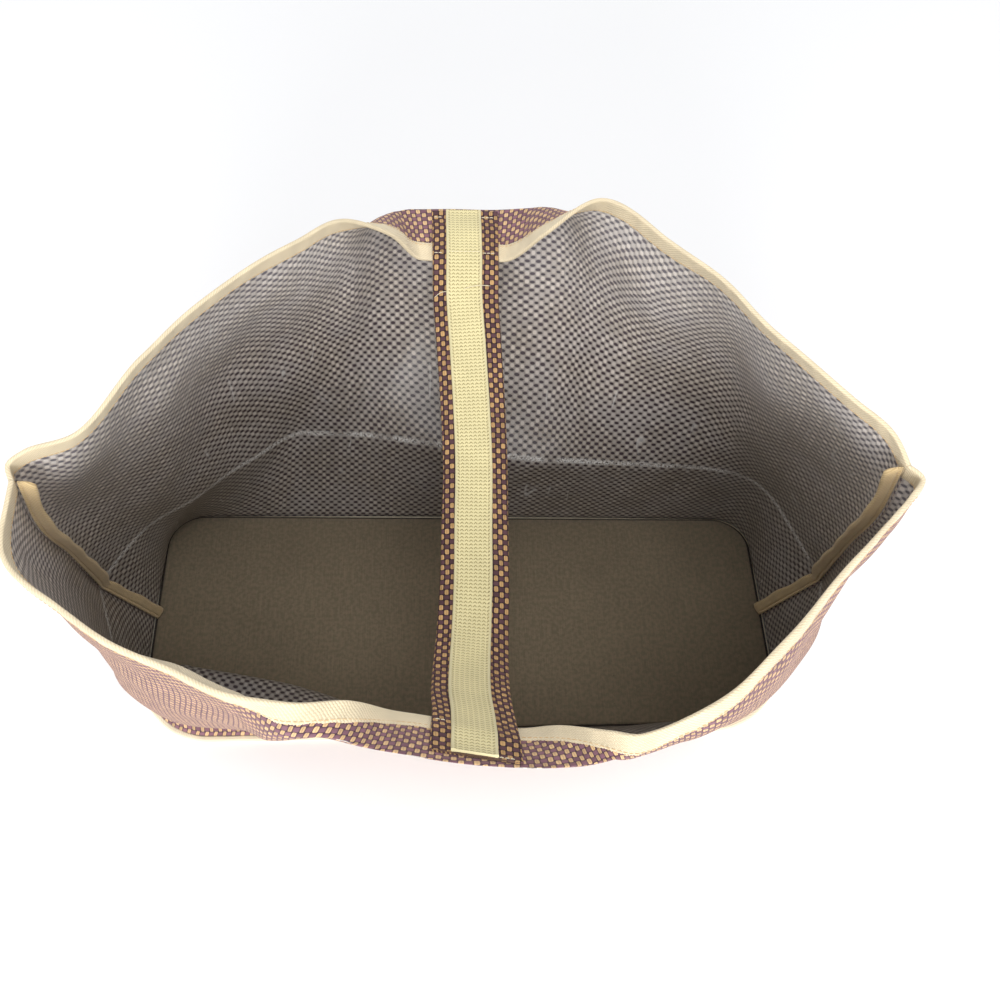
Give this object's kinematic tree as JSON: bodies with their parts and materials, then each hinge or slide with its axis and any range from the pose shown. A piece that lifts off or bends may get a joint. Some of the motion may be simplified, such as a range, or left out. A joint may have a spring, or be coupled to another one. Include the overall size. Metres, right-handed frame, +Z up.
{
  "type": "burlap shopping bag",
  "caption": "Open-topped burlap shopping bag that stands on a stiffened base, with tape-bound edges and one broad handle sagging across its mouth.",
  "frame": {"origin": "middle of the underside of the base, on the floor", "axes": "+X along the base to the right as seen from the front, +Y towards the back panel, +Z up"},
  "size_m": [0.5494, 0.403, 0.3422],
  "materials": {
    "burlap": "coarse plain weave, laminated inside",
    "tape": "woven twill tape",
    "webbing": "woven webbing",
    "board_cloth": "fine woven cover"
  },
  "bodies": {
    "root": {"back_panel": "burlap", "front_panel": "burlap", "base_panel": "burlap", "base_board": "board_cloth", "mouth_binding_back": "tape", "mouth_binding_front": "tape", "seam_binding_left": "tape", "seam_binding_right": "tape", "base_binding": "tape", "handle_band": "burlap", "handle_webbing": "webbing"}
  },
  "joints": []
}
